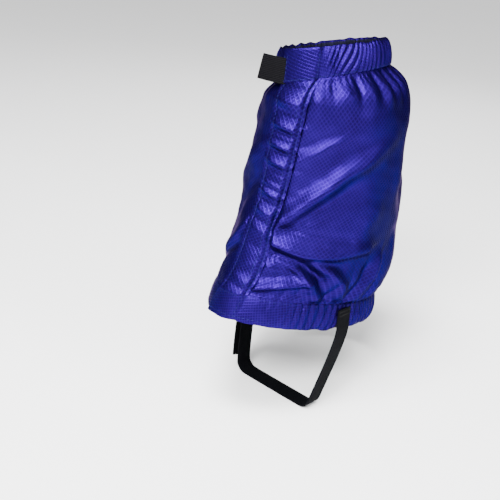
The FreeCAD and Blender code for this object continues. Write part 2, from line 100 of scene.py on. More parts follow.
def sleeve(angle, height, out):
    """Points in metres: angle from the front towards the inner side, out in mm outwards."""
    angle, height, out = np.broadcast_arrays(np.asarray(angle, float), height, out)
    centre, wide, deep, pitch, tilt = np.moveaxis(ring_values(height), -1, 0)
    turn, pitch, tilt = np.radians(angle), np.radians(pitch), np.radians(tilt)
    x = (wide + out) * np.sin(turn)
    y = -(deep + out) * np.cos(turn)
    up = y * np.sin(pitch)
    return np.stack([x * np.cos(tilt) - up * np.sin(tilt), centre + y * np.cos(pitch),
                     height + x * np.sin(tilt) + up * np.cos(tilt)], axis=-1) * MM


def angle_at_x(x, height):
    """The angle at which the front of the sleeve passes x, in mm."""
    wide = ring_values(height)[..., 1]
    return np.degrees(np.arcsin(np.clip(np.asarray(x) / wide, -1, 1)))


def smooth(low, high, value):
    share = np.clip((np.asarray(value, float) - low) / (high - low), 0, 1)
    return share * share * (3 - 2 * share)


def waves(x, y, seed, size):
    """Smooth uneven swells, about -1 to 1, whose width is about size mm."""
    draw = np.random.RandomState(seed)
    total = 0
    for _ in range(7):
        turn = draw.uniform(0, math.tau)
        step = math.tau / (size * draw.uniform(1.3, 2.8))
        total = total + np.sin((x * math.cos(turn) + y * math.sin(turn)) * step
                               + draw.uniform(0, math.tau))
    return total / 3.6


def lobes(position):
    """Rounded swells of width 1 with sharp valleys between them, from 0 to 1."""
    return np.abs(np.sin(math.pi * position)) ** 0.8


# ---- where the flap lies ------------------------------------------------------------------

FLAP_STAND, FLAP_CLIMB = 3.0, 4.0      # mm the flap stands over the tapes, and climbs within
FLAP_EDGE_X = ((70, -10.5), (90, -6.0), (102, -4.0), (130, -2.2), (170, -1.4), (210, -2.0),
               (240, -2.6), (264, -4.0), (285, -4.4))
FLAP_SEAM_X = ((70, 13.0), (90, 15.5), (105, 17.5), (128, 18.5), (150, 17.0), (175, 18.0),
               (205, 19.5), (240, 21.0), (264, 21.5), (285, 21.0))


def along(table, height):
    points = np.array(table, float)
    return np.interp(height, points[:, 0], points[:, 1])


def flap_edge(height):
    return along(FLAP_EDGE_X, height)


def flap_seam(height):
    return along(FLAP_SEAM_X, height)


def flap_rise(angle, height):
    """How far the flap stands off the panel: nothing at its seam, most over the tapes."""
    seam = angle_at_x(flap_seam(height), height)
    return FLAP_STAND * smooth(0.0, FLAP_CLIMB, (seam - angle) * ARC)


# ---- folds of the cloth -------------------------------------------------------------------
# Each fold follows its crest through points (angle, height).  Then come its half width to the
# left of that way, its half width to the right, its rise in mm, and how much of the rise is
# left at its first and last point.

RIGHT_FOLDS = (
    # the long ridge that falls from the back of the leg to the flap's seam, and its hollow
    (((14, 147), (24, 157), (41, 179), (58, 197), (83, 212), (106, 226)),
     7.5, 6.5, 6.2, 0.8, 0.15),
    (((22, 146), (40, 164), (58, 180), (82, 192)), 7, 10, -2.6, 0.7, 0.1),
    (((19, 203), (32, 211), (50, 222), (70, 234)), 4, 4.5, 1.7, 1.0, 0.1),
    (((19, 216), (34, 224), (52, 236)), 6, 5, -1.3, 0.8, 0.2),
    # the wedge that runs back from the flap's seam, with the hollow under it
    (((14, 151), (30, 150), (50, 148), (72, 146)), 4, 3, -1.8, 1.0, 0.5),
    (((14, 142), (28, 138), (46, 133), (64, 133), (86, 137)), 8, 4.5, 5.8, 0.9, 0.85),
    (((18, 131), (32, 126), (46, 119), (56, 112)), 6, 6, -4.0, 0.8, 0.5),
    (((17, 121), (24, 119), (30, 117)), 3, 2.5, 1.5, 1.0, 0.2),
    # ridges and hollows that sink into the lower hem
    (((29, 125), (40, 121), (50, 113), (58, 104), (64, 96)), 4, 3, 4.3, 0.6, 0.8),
    (((46, 124), (55, 117), (64, 106), (73, 96), (80, 92)), 3.5, 3.5, -3.4, 0.5, 0.8),
    (((54, 125), (64, 119), (74, 109), (81, 97)), 4, 4.5, 4.6, 0.6, 0.9),
    (((26, 110), (38, 113), (48, 116)), 4, 4, -2.0, 0.6, 0.6),
    (((13, 95), (24, 99), (36, 103), (56, 109)), 4.5, 2.6, 3.6, 0.9, 0.7),
    (((14, 92), (28, 94), (42, 96), (58, 99)), 2.5, 2, -1.6, 0.8, 0.5),
    (((92, 128), (90, 114), (88, 102), (87, 94)), 4, 4, -2.8, 0.1, 1.0),
    (((106, 138), (101, 122), (97, 107), (95, 94)), 4, 4.5, 3.4, 0.2, 1.0),
    (((108, 140), (106, 122), (103, 106), (102, 94)), 4, 4, -2.0, 0.1, 1.0),
    (((124, 150), (120, 128), (117, 110), (114, 95)), 6, 5, 2.2, 0.1, 1.0),
    (((140, 150), (136, 128), (131, 108), (128, 95)), 6, 6, -1.9, 0.1, 1.0),
    (((154, 150), (152, 128), (149, 110), (147, 95)), 6, 5, 1.9, 0.1, 1.0),
    # shallow drapes towards the back
    (((96, 176), (84, 160), (78, 146), (80, 132)), 8, 9, 1.7, 0.1, 0.3),
    (((118, 240), (112, 206), (110, 176), (114, 150)), 11, 9, 2.2, 0.6, 0.1),
    (((138, 242), (134, 206), (132, 176), (136, 140)), 11, 11, -2.2, 0.6, 0.1),
    (((158, 242), (156, 200), (158, 160), (160, 120)), 10, 11, 2.2, 0.6, 0.1),
    (((170, 200), (150, 176), (126, 158), (104, 150)), 9, 7, 1.9, 0.1, 0.1),
)
LEFT_FOLDS = (
    (((-14, 246), (-30, 232), (-52, 216), (-80, 204)), 8, 8, -1.8, 0.4, 0.1),
    (((-12, 216), (-28, 200), (-46, 178), (-66, 166)), 9, 7, 2.6, 0.8, 0.1),
    (((-10, 186), (-22, 168), (-34, 146), (-48, 132)), 7, 8, -2.2, 0.8, 0.2),
    (((-8, 148), (-18, 132), (-30, 118), (-44, 108)), 4, 6, 2.4, 0.8, 0.3),
    (((-10, 128), (-22, 118), (-36, 106), (-50, 97)), 4, 5, -1.8, 0.8, 0.5),
    (((-60, 132), (-70, 120), (-76, 106), (-80, 95)), 5, 4, 2.4, 0.1, 1.0),
    (((-70, 134), (-80, 122), (-86, 108), (-90, 95)), 4, 4, -2.2, 0.1, 1.0),
    (((-80, 146), (-90, 128), (-97, 112), (-101, 95)), 5, 5, 2.2, 0.1, 1.0),
    (((-96, 148), (-106, 130), (-112, 112), (-115, 95)), 5, 5, -2.2, 0.1, 1.0),
    (((-124, 150), (-130, 128), (-132, 110), (-134, 95)), 6, 5, 2.2, 0.1, 1.0),
    (((-70, 240), (-88, 212), (-98, 182), (-96, 150)), 10, 9, 2.6, 0.4, 0.1),
    (((-104, 246), (-118, 216), (-122, 180), (-116, 146)), 11, 9, -2.6, 0.6, 0.1),
    (((-146, 240), (-150, 200), (-148, 160), (-150, 120)), 11, 10, 2.3, 0.6, 0.1),
    (((-84, 196), (-112, 172), (-140, 160), (-166, 158)), 8, 9, 2.2, 0.2, 0.1),
)

# Puffs and pinches under the upper hem: angle, height, half width, half height and rise.
PUFFS = (
    (44, 258, 24, 5, -1.1), (33, 249, 9, 8, 2.6), (45, 257, 2.4, 6, -1.3), (55, 249, 8, 8, 2.8),
    (66, 256, 2.6, 8, -2.4), (75, 250, 5, 7, 2.4), (83, 257, 2.2, 7, -1.8),
    (90, 250, 4.5, 7, 2.4), (97, 257, 2.2, 8, -2.2), (104, 251, 4, 7, 2.3),
    (110, 257, 2.2, 8, -1.8),
    (117, 252, 5.5, 8, 2.6), (125, 257, 3, 9, -2.0),
    (-22, 255, 9, 8, 1.8), (-38, 257, 3.4, 9, -2.4), (-52, 255, 8, 8, 2.2),
)


def fold_lift(folds, angle, height):
    """The sum of the folds: each swells across its line and fades towards its two ends."""
    x, y = angle * ARC, height
    total = np.zeros(np.broadcast(x, y).shape)
    for points, left, right, rise, first, last in folds:
        line = np.array([(a * ARC, h) for a, h in points], float)
        steps = np.diff(line, axis=0)
        lengths = np.hypot(steps[:, 0], steps[:, 1])
        starts = np.concatenate([[0], np.cumsum(lengths)])
        near = np.full(total.shape, 1e9)
        place, leftward = np.zeros(total.shape), np.zeros(total.shape)
        for (ax, ay), (sx, sy), length, start in zip(line, steps, lengths, starts):
            share = np.clip(((x - ax) * sx + (y - ay) * sy) / length ** 2, 0, 1)
            gap = np.hypot(x - ax - sx * share, y - ay - sy * share)
            side = (sx * (y - ay) - sy * (x - ax)) / length
            closer = gap < near
            near = np.where(closer, gap, near)
            place = np.where(closer, (start + share * length) / starts[-1], place)
            leftward = np.where(closer, side, leftward)
        ease = smooth(-2.0, 2.0, leftward)
        width = right + (left - right) * ease
        fade = (first + (1 - first) * smooth(0, 0.3, place)) \
            * (1 + (last - 1) * smooth(0.55, 1.0, place))
        total = total + rise * fade * np.exp(-(near / width) ** 2)
    return total


def gathers(angle, height, seed):
    """Puffs under the upper elastic and pleats over the lower one."""
    arc = angle * ARC
    drop = np.maximum(NECK - height, 0)
    wander = 0.42 * waves(arc, height * 0.4, seed, 26)
    puff = lobes(arc / 15.0 + wander + 0.1) - 0.55
    fine = lobes(arc / 5.4 + 1.7 * wander + 0.3) - 0.6
    placed = 1 - smooth(-62, -54, angle) * (1 - smooth(118, 126, angle))
    top = (3.6 * placed * puff * (drop / 9) * np.exp(1 - drop / 9) * (drop < 70)
           + 1.3 * fine * np.exp(-drop / 5.0) * smooth(0, 1.0, drop))
    for where, level, wide, tall, rise in PUFFS:
        top = top + rise * np.exp(-((arc - where * ARC) / wide) ** 2
                                  - ((height - level) / tall) ** 2)
    rise = np.maximum(height - BASE, 0)
    wander = 0.4 * waves(arc, height * 0.5, seed + 5, 22)
    broad = lobes(arc / 12.0 + wander + 0.4) - 0.55
    fine = lobes(arc / 4.6 + 1.5 * wander) - 0.6
    crowd = 0.3 + 0.7 * smooth(45, 75, np.abs(angle))
    low = crowd * (1.9 * broad * (rise / 8) * np.exp(1 - rise / 8) * (rise < 60)
                   + 1.2 * fine * np.exp(-rise / 5.0) * smooth(0, 1.0, rise))
    return top * smooth(0, 3, drop) + low * smooth(0, 1.5, rise)


def body_lift(folds, angle, height, seed):
    """Everything that lifts the body's cloth off the smooth sleeve, pinched at both seams."""
    arc = angle * ARC
    pinch = smooth(0, 9, NECK - height) * smooth(0, 4, height - BASE)
    broad = (0.9 * waves(arc, height * 0.6, seed + 11, 42)
             + 0.45 * waves(arc, height, seed + 12, 19)) * pinch
    small = 0.14 * waves(arc, height, seed + 13, 7) * pinch
    return fold_lift(folds, angle, height) * pinch + gathers(angle, height, seed) + broad + small


def at_back_seam(lift, angle, height):
    """Both panels and their casings run into the same line down the back."""
    away = smooth(0, 9, (180.0 - np.abs(angle)) * ARC)
    return lift * away + 0.6 * waves(height, 0 * height, 91, 30) * (1 - away)


# ---- mesh builders ------------------------------------------------------------------------


def deselect():
    bpy.ops.object.select_all(action="DESELECT")


def only(item):
    deselect()
    item.select_set(True)
    bpy.context.view_layer.objects.active = item
    return item


def grid(name, columns, rows):
    """A flat grid to be laid out as cloth, with its shares across and along."""
    deselect()
    bpy.ops.mesh.primitive_grid_add(x_subdivisions=columns, y_subdivisions=rows, size=1)
    item = bpy.context.object
    item.name = item.data.name = name
    flat = np.array([v.co for v in item.data.vertices])
    return item, flat[:, 0] + 0.5, flat[:, 1] + 0.5


def set_points(item, points):
    item.data.vertices.foreach_set("co", np.asarray(points, np.float32).ravel())
    item.data.update()


def set_uv(item, across, along_it):
    """Cloth coordinates in metres, so that a weave keeps its scale."""
    layer = item.data.uv_layers[0]
    layer.name = "cloth"
    index = np.empty(len(item.data.loops), int)
    item.data.loops.foreach_get("vertex_index", index)
    uv = np.stack([np.asarray(across)[index], np.asarray(along_it)[index]], axis=-1)
    layer.data.foreach_set("uv", uv.astype(np.float32).ravel())


def apply(item, kind, **settings):
    only(item)
    modifier = item.modifiers.new(kind.lower(), kind)
    for key, value in settings.items():
        setattr(modifier, key, value)
    bpy.ops.object.modifier_apply(modifier=modifier.name)


def shade(item, degrees=60):
    only(item)
    bpy.ops.object.shade_smooth_by_angle(angle=math.radians(degrees))


def cloth(name, columns, rows, lay, thickness, material, inside=None, centred=False):
    """A piece of cloth: lay(across, along) gives its points and its cloth coordinates."""
    item, across, along_it = grid(name, columns, rows)
    points, u, v = lay(across, along_it)
    set_points(item, points)
    set_uv(item, u, v)
    item.data.materials.append(material)
    item.data.materials.append(inside or material)
    apply(item, "SOLIDIFY", thickness=thickness * MM, offset=0 if centred else -1,
          use_even_offset=False, material_offset=1, material_offset_rim=0)
    shade(item)
    return item


# ---- materials ----------------------------------------------------------------------------


class Nodes:
    """Short calls for the node trees below."""

    def __init__(self, name, **values):
        self.material = bpy.data.materials.new(name)
        self.material.use_nodes = True
        self.tree = self.material.node_tree
        self.shader = self.tree.nodes["Principled BSDF"]
        for key, value in values.items():
            self.shader.inputs[key.replace("_", " ")].default_value = value

    def add(self, kind, **inputs):
        node = self.tree.nodes.new(kind)
        for key, value in inputs.items():
            self.put(node, key, value)
        return node

    def put(self, node, key, value):
        if hasattr(node, key) and not isinstance(value, bpy.types.NodeSocket):
            setattr(node, key, value)
            return
        socket = node.inputs[int(key[1:])] if key[0] == "i" and key[1:].isdigit() \
            else node.inputs[key.replace("_", " ")]
        if isinstance(value, bpy.types.NodeSocket):
            self.tree.links.new(value, socket)
        else:
            socket.default_value = value

    def math(self, operation, first, second=0.0):
        node = self.add("ShaderNodeMath", operation=operation, i0=first, i1=second)
        return node.outputs[0]

    def mix(self, factor, first, second):
        node = self.add("ShaderNodeMix", data_type="RGBA")
        for socket, value in zip((node.inputs[0], node.inputs[6], node.inputs[7]),
                                 (factor, first, second)):
            if isinstance(value, bpy.types.NodeSocket):
                self.tree.links.new(value, socket)
            else:
                socket.default_value = value
        return node.outputs[2]

    def noise(self, where, scale, detail=3.0, rough=0.5):
        node = self.add("ShaderNodeTexNoise", Vector=where, Scale=scale, Detail=detail,
                        Roughness=rough)
        return node.outputs[0]

    def spread(self, value, low, high, to_low=0.0, to_high=1.0):
        node = self.add("ShaderNodeMapRange", Value=value, From_Min=low, From_Max=high,
                        To_Min=to_low, To_Max=to_high)
        return node.outputs[0]

    def bump(self, height, distance, strength=1.0, under=None):
        node = self.add("ShaderNodeBump", Height=height, Distance=distance, Strength=strength)
        if under is not None:
            self.tree.links.new(under, node.inputs["Normal"])
        return node.outputs[0]

    def uv(self):
        return self.add("ShaderNodeUVMap", uv_map="cloth").outputs[0]

    def place(self):
        return self.add("ShaderNodeTexCoord").outputs["Object"]

    def finish(self, color=None, rough=None, normal=None):
        for key, value in (("Base Color", color), ("Roughness", rough), ("Normal", normal)):
            if value is not None:
                self.tree.links.new(value, self.shader.inputs[key])
        return self.material


def ripstop(name, dark, light, turn, pitch=2.4):
    """Ripstop nylon: a fine plain weave crossed by thicker threads in a diamond grid."""
    n = Nodes(name, Metallic=0.9, IOR=1.4, Specular_IOR_Level=0.2)
    n.shader.inputs["Specular Tint"].default_value = (0.20, 0.015, 0.28, 1.0)
    turned = n.add("ShaderNodeMapping", Vector=n.uv())
    turned.inputs["Rotation"].default_value = (0, 0, math.radians(turn))
    split = n.add("ShaderNodeSeparateXYZ", Vector=turned.outputs[0])
    lines = []
    for axis in (0, 1):
        cell = n.math("MULTIPLY", split.outputs[axis], 1000.0 / pitch)
        saw = n.math("FRACT", cell)
        peak = n.math("ABSOLUTE", n.math("SUBTRACT", saw, 0.5))
        lines.append(n.spread(peak, 0.32, 0.46))
    grid_lines = n.math("MAXIMUM", lines[0], lines[1])
    weave = n.add("ShaderNodeMapping", Vector=turned.outputs[0])
    weave.inputs["Scale"].default_value = (2400.0, 2400.0, 2400.0)
    threads = n.add("ShaderNodeTexChecker", Vector=weave.outputs[0], Scale=1.0).outputs[1]
    mottle = n.noise(n.place(), 60.0, 4.0, 0.55)
    cloth_color = n.mix(n.spread(mottle, 0.3, 0.7), dark, light)
    bright = tuple(min(1.0, c * 2.6 + 0.003) for c in light[:3]) + (1.0,)
    color = n.mix(n.math("MULTIPLY", grid_lines, 0.36), cloth_color, bright)
    rough = n.spread(n.math("ADD", n.math("MULTIPLY", grid_lines, 0.5), mottle),
                     0.3, 1.2, 0.43, 0.31)
    height = n.math("ADD", n.math("MULTIPLY", grid_lines, 1.0),
                    n.math("MULTIPLY", threads, 0.2))
    crumple = n.bump(n.noise(n.place(), 360.0, 3.0, 0.6), 0.0004, 0.3)
    return n.finish(color, rough, n.bump(height, 0.0001, 0.7, crumple))


def near_black_face(name, dark, light):
    """The cloth's inside faces: near black, with the weave just showing through."""
    n = Nodes(name, IOR=1.45, Specular_IOR_Level=0.08)
    weave = n.add("ShaderNodeTexChecker", Vector=n.uv(), Scale=900.0).outputs[1]
    patches = n.noise(n.place(), 70.0, 4.0, 0.6)
    color = n.mix(n.spread(patches, 0.3, 0.7), dark, light)
    return n.finish(color, n.spread(patches, 0.3, 0.7, 0.5, 0.66),
                    n.bump(weave, 0.00006, 0.5, n.bump(patches, 0.0006, 0.4)))


def ribbed(name, dark, light, across, rib, rough=(0.62, 0.8)):
    """Webbing with ribs across it, twisted yarn in each rib and painted shade in its grooves."""
    n = Nodes(name, IOR=1.3, Specular_IOR_Level=0.04)
    split = n.add("ShaderNodeSeparateXYZ", Vector=n.uv())
    ribs = n.math("SINE", n.math("MULTIPLY", split.outputs[across], math.tau * 1000.0 / rib))
    strands = n.math("SINE", n.math("MULTIPLY", split.outputs[1 - across],
                                    math.tau * 1000.0 / (rib * 0.55)))
    height = n.math("ADD", ribs, n.math("MULTIPLY", strands, 0.35))
    fuzz = n.noise(n.place(), 900.0, 4.0, 0.65)
    # colour follows the rib height: painted shade in the grooves and lighter crests as painted
    # highlight, mixed with a random fuzz tone
    color = n.mix(n.spread(n.math("ADD", height, n.math("MULTIPLY", fuzz, 1.2)), -1.0, 2.2),
                  dark, light)
    normal = n.bump(height, 0.00014, 0.8, n.bump(fuzz, 0.0002, 0.5))
    return n.finish(color, n.spread(fuzz, 0.3, 0.7, *rough), normal)


def nap(name, dark, light, scale, depth):
    """Hook or loop tape: a dense short pile, with painted shade between its tufts."""
    n = Nodes(name, IOR=1.4, Sheen_Weight=0.08, Sheen_Roughness=0.6,
              Specular_IOR_Level=0.15)
    where = n.place()
    cells = n.add("ShaderNodeTexVoronoi", Vector=where, Scale=scale).outputs[0]
    fuzz = n.noise(where, scale * 1.7, 4.0, 0.7)
    # colour follows the pile's height: light on the tufts, painted shade in the hollows between
    # them
    color = n.mix(n.spread(cells, 0.0, 0.6), light, dark)
    normal = n.bump(n.math("ADD", n.math("MULTIPLY", cells, -1.0), fuzz), depth, 0.6)
    return n.finish(color, n.spread(fuzz, 0.3, 0.7, 0.75, 0.95), normal)


def moulded(name, dark, light):
    """Moulded plastic with a fine spark-eroded grain and rubbed patches."""
    n = Nodes(name, IOR=1.5)
    grain = n.noise(n.place(), 1500.0, 3.0, 0.6)
    patches = n.noise(n.place(), 90.0, 3.0, 0.6)
    color = n.mix(n.spread(patches, 0.35, 0.7), dark, light)
    return n.finish(color, n.spread(patches, 0.3, 0.7, 0.36, 0.52), n.bump(grain, 0.00005, 0.5))


def plated(name, dark, light):
    """Plated steel with drawn lines and slightly dulled patches."""
    n = Nodes(name, Metallic=1.0)
    where = n.add("ShaderNodeMapping", Vector=n.place())
    where.inputs["Scale"].default_value = (60.0, 60.0, 2600.0)
    drawn = n.noise(where.outputs[0], 1.0, 2.0, 0.5)
    patches = n.noise(n.place(), 140.0, 3.0, 0.6)
    color = n.mix(n.spread(patches, 0.35, 0.7), dark, light)
    return n.finish(color, n.spread(patches, 0.3, 0.7, 0.22, 0.4), n.bump(drawn, 0.00003, 0.4))


def yarn(name, dark, light):
    """Sewing thread: two strands twisted."""
    n = Nodes(name, IOR=1.4, Specular_IOR_Level=0.12)
    twist = n.noise(n.place(), 2600.0, 2.0, 0.5)
    color = n.mix(n.spread(twist, 0.35, 0.65), dark, light)
    return n.finish(color, n.spread(twist, 0.3, 0.7, 0.45, 0.6), n.bump(twist, 0.00008, 0.6))


BLUE_DARK, BLUE_LIGHT = (0.0060, 0.0008, 0.043, 1), (0.0098, 0.0014, 0.073, 1)
RIPSTOP = ripstop("ripstop nylon", BLUE_DARK, BLUE_LIGHT, 52)
FLAP_CLOTH = ripstop("ripstop facing", BLUE_DARK, BLUE_LIGHT, 52)
HEM_CLOTH = ripstop("ripstop casing", BLUE_DARK, BLUE_LIGHT, 14, 2.0)
# near-black colour for the cloth's inside faces and the casings' inner halves
NEAR_BLACK_FACE = near_black_face("near-black inside", (0.002, 0.002, 0.006, 1), (0.004, 0.004, 0.014, 1))
WEBBING = ribbed("ribbed black webbing", (0.0008, 0.0008, 0.0013, 1), (0.0055, 0.0052, 0.0062, 1),
                 1, 1.25)
STRAP = ribbed("strap webbing", (0.0008, 0.0009, 0.0013, 1), (0.0036, 0.0038, 0.0052, 1), 0, 0.9,
               (0.62, 0.78))
BINDING = ribbed("binding tape", (0.006, 0.006, 0.02, 1), (0.02, 0.02, 0.05, 1), 1, 0.8)
ELASTIC = ribbed("braided elastic", (0.01, 0.01, 0.01, 1), (0.05, 0.05, 0.05, 1), 0, 1.4)
HOOK_TAPE = nap("hook tape", (0.004, 0.004, 0.005, 1), (0.03, 0.03, 0.032, 1), 1400.0, 0.00012)
LOOP_TAPE = nap("loop tape", (0.006, 0.006, 0.008, 1), (0.04, 0.04, 0.045, 1), 900.0, 0.00018)
LOCK = moulded("black acetal", (0.008, 0.008, 0.009, 1), (0.02, 0.02, 0.022, 1))
STEEL = plated("plated steel", (0.45, 0.45, 0.46, 1), (0.68, 0.68, 0.69, 1))
THREAD = yarn("navy thread", (0.004, 0.004, 0.03, 1), (0.012, 0.012, 0.11, 1))
BLACK_THREAD = yarn("black thread", (0.0008, 0.0008, 0.001, 1), (0.003, 0.003, 0.0035, 1))


# ---- stitching ----------------------------------------------------------------------------

STITCH_FROM, STITCH_TO = 14.0, -6.0    # mm off the sleeve, between which the cloth is looked for
STITCH_REACH = 0.025                   # m, the farthest look for it
STITCH_SPAN = (1e-4, 0.006)            # m, between the two ends of a stitch that is kept
STITCH_PROUD = 0.00012                 # m, how far the thread stands off the cloth


def one_stitch(length, thickness):
    """A single stitch along X, modelled once and copied down every seam."""
    deselect()
    bpy.ops.mesh.primitive_cylinder_add(vertices=6, radius=0.5, depth=1.0)
    item = bpy.context.object
    bpy.ops.object.mode_set(mode="EDIT")
    bpy.ops.mesh.select_all(action="SELECT")
    bpy.ops.mesh.bevel(offset=0.22, segments=1)
    bpy.ops.object.mode_set(mode="OBJECT")
    points = np.array([v.co for v in item.data.vertices])[:, [2, 0, 1]]
    faces = [list(p.vertices) for p in item.data.polygons]
    bpy.data.objects.remove(item, do_unlink=True)
    points = points * (length, thickness, thickness) * MM
    # the ends dip into the cloth
    points[:, 2] -= (points[:, 0] / (length * MM / 2)) ** 2 * thickness * 0.35 * MM
    return points, faces


def lay_stitches(name, places, material, length=2.1, thickness=0.42):
    """Stitches at (point, direction, outward) places, as one mesh."""
    shape, faces = one_stitch(length, thickness)
    points, all_faces = [], []
    for index, (point, ahead, out) in enumerate(places):
        side = np.cross(out, ahead)
        side /= np.linalg.norm(side)
        up = np.cross(ahead, side)
        basis = np.stack([ahead, side, up])
        points.append(shape @ basis + point)
        all_faces += [[i + index * len(shape) for i in face] for face in faces]
    mesh = bpy.data.meshes.new(name)
    mesh.from_pydata(np.concatenate(points).tolist(), [], all_faces)
    item = bpy.data.objects.new(name, mesh)
    bpy.context.collection.objects.link(item)
    mesh.materials.append(material)
    only(item)
    bpy.ops.object.mode_set(mode="EDIT")
    bpy.ops.mesh.select_all(action="SELECT")
    bpy.ops.mesh.normals_make_consistent(inside=False)
    bpy.ops.object.mode_set(mode="OBJECT")
    shade(item, 70)
    return item


def stitch_line(target, way, length, body, name, pitch=2.9):
    """Stitches on a cloth: way(share) gives (angle, height); each is dropped onto the cloth."""
    tree = BVHTree.FromObject(target, bpy.context.evaluated_depsgraph_get())
    count = max(2, int(length / pitch))
    places = []
    for index in range(count):
        hits = []
        for shift in (-0.34, 0.34):
            angle, height = way((index + 0.5 + shift) / count)
            start = Vector(sleeve(angle, height, STITCH_FROM))
            end = Vector(sleeve(angle, height, STITCH_TO))
            hit, normal, _, _ = tree.ray_cast(start, (end - start).normalized(), STITCH_REACH)
            if hit is not None:
                hits.append((np.array(hit), np.array(normal)))
        if len(hits) == 2:
            ahead = hits[1][0] - hits[0][0]
            reach = np.linalg.norm(ahead)
            if STITCH_SPAN[0] < reach < STITCH_SPAN[1]:
                out = hits[0][1] + hits[1][1]
                out /= np.linalg.norm(out)
                places.append(((hits[0][0] + hits[1][0]) / 2 + out * STITCH_PROUD,
                               ahead / reach, out))
    item = lay_stitches(name, places, THREAD)
    if isinstance(body, tuple):
        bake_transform(item)
    else:
        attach(item, body)


BOTH = ("sleeve", "front_wrap")


# ---- sleeve cloth -------------------------------------------------------------------------

CLOTH_THICK = 0.35
SEAM_DIP, SEAM_WIDE = -0.8, 1.5        # mm that the cloth sinks into the back seam, and how wide


def back_seam_dip(gap):
    return SEAM_DIP * np.exp(-(gap * ARC / SEAM_WIDE) ** 2)


def right_side():
    """The inner side panel, from the flap's seam round to the back seam."""
    def lay(across, along_it):
        height = BASE + (NECK - BASE) * along_it
        start = angle_at_x(flap_seam(height), height) - 3.0
        angle = start + (180.0 - start) * across
        lift = body_lift(RIGHT_FOLDS, angle, height, 3)
        gap = (angle - start - 3.0) * ARC
        pucker = 0.55 * waves(height * 1.0, gap * 0.3, 21, 5) * np.exp(-np.maximum(gap, 0) / 7)
        crease = -0.9 * np.exp(-(gap / 1.6) ** 2)
        settle = smooth(-2.0, 5.0, gap)
        seam = back_seam_dip(180.0 - angle)
        lift = at_back_seam(lift * settle, angle, height) + pucker + crease + seam
        return sleeve(angle, height, lift), angle * ARC * MM, height * MM

    item = cloth("right_panel_cloth", 220, 180, lay, CLOTH_THICK, RIPSTOP, NEAR_BLACK_FACE)
    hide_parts("right_rear_panel", "right_front_panel")
    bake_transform(item)


def left_side():
    """The outer side panel, from the back seam round to its edge under the flap."""
    def lay(across, along_it):
        height = BASE + (NECK - BASE) * along_it
        end = angle_at_x(flap_seam(height) - 2.0, height)
        angle = -180.0 + (end + 180.0) * across
        edge = angle_at_x(flap_edge(height), height)
        under = smooth(-3.0, 4.0, (angle - edge) * ARC)
        lift = body_lift(LEFT_FOLDS, angle, height, 7)
        seam = back_seam_dip(180.0 + angle)
        lift = at_back_seam(lift * (1 - under) - 0.35 * under, angle, height) + seam
        return sleeve(angle, height, lift), angle * ARC * MM, height * MM

    item = cloth("left_panel_cloth", 220, 180, lay, CLOTH_THICK, RIPSTOP, NEAR_BLACK_FACE)
    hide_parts("left_panel")
    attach(item, "sleeve")


# Small bunches down the flap: height, rise in mm and half width.
FLAP_BUNCHES = ((258, -0.9, 2.4), (250, 2.6, 3.2), (243, -1.1, 2.4), (233, 2.5, 2.8),
                (227, -1.3, 2.0), (219, 2.8, 2.8), (213, -1.1, 2.2), (205, 2.4, 2.8),
                (196, -1.1, 3.2), (186, 1.2, 2.2), (177, 2.6, 2.6), (170, -1.1, 2.2),
                (163, 1.9, 2.6), (156, -0.6, 2.4), (149, 0.9, 3.6), (136, -0.8, 5.0),
                (119, 0.6, 6.0), (103, 0.8, 4.0), (97, -0.5, 2.5))
TURNED = 0.14             # share of the flap's cloth that is turned under at its free edge
TURN_DEEP = 4.5           # mm that the turned edge reaches back
TAPE_CLEAR = 2.75         # mm off the panel that clears the tapes
# Rows of stitching down the flap: the line it follows, mm off it and the row's name.
FLAP_ROWS = ((flap_seam, -0.8, "flap_seam_stitches"), (flap_seam, -4.2, "flap_inner_stitches"),
             (flap_edge, 3.2, "flap_edge_stitches"))
ROW_LENGTH = 170.0


def flap():
    """The facing that wraps over the front, its free edge turned under."""
    def lay(across, along_it):
        height = BASE - 0.5 + (NECK - BASE + 1.0) * along_it
        free, seam = flap_edge(height), flap_seam(height)
        turn = np.clip((TURNED - across) / TURNED, 0, 1)
        share = np.clip((across - TURNED) / (1 - TURNED), 0, 1)
        x = free + (seam + 1.0 - free) * share + TURN_DEEP * turn
        slope = (x - free) / (seam - free)
        bunch = 0
        for where, rise, wide in FLAP_BUNCHES:
            level = where - 6.5 * (slope - 0.5) + 1.2 * math.sin(where)
            bunch = bunch + rise * np.exp(-((height - level) / wide) ** 2)
        bunch = bunch * (0.15 + 0.95 * np.sin(np.clip(slope, 0.02, 1) * math.pi * 0.9))
        tight = waves(height, x * 0.5, 33, 4.5)
        bunch = bunch + 0.5 * tight * np.exp(-((seam - x) / 3.0) ** 2)
        bunch = bunch + 0.18 * tight * np.exp(-((x - free - 2.0) / 2.0) ** 2)
        angle = angle_at_x(x, height)
        lift = 0.6 + flap_rise(angle, height) + bunch
        lift = lift - 0.45 * np.exp(-((seam - x - 0.8) / 0.8) ** 2)
        lift = lift - 0.25 * np.exp(-((x - free - 3.2) / 0.7) ** 2)
        lift = np.maximum(lift, np.where(seam - x > 3.5, TAPE_CLEAR, 0.45))
        lift = lift - 0.75 * np.sqrt(turn) * (turn > 0)
        return sleeve(angle, height, lift), x * MM, height * MM

    item = cloth("front_flap_cloth", 60, 250, lay, CLOTH_THICK, FLAP_CLOTH)
    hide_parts("front_flap")
    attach(item, "front_wrap")
    for line, inset, name in FLAP_ROWS:
        def way(share):
            height = BASE + 2 + ROW_LENGTH * share
            return at_x(line(height) + inset, height)

        stitch_line(item, way, ROW_LENGTH, "front_wrap", name)


def at_x(x, height):
    return float(angle_at_x(x, np.asarray(height, float))), height


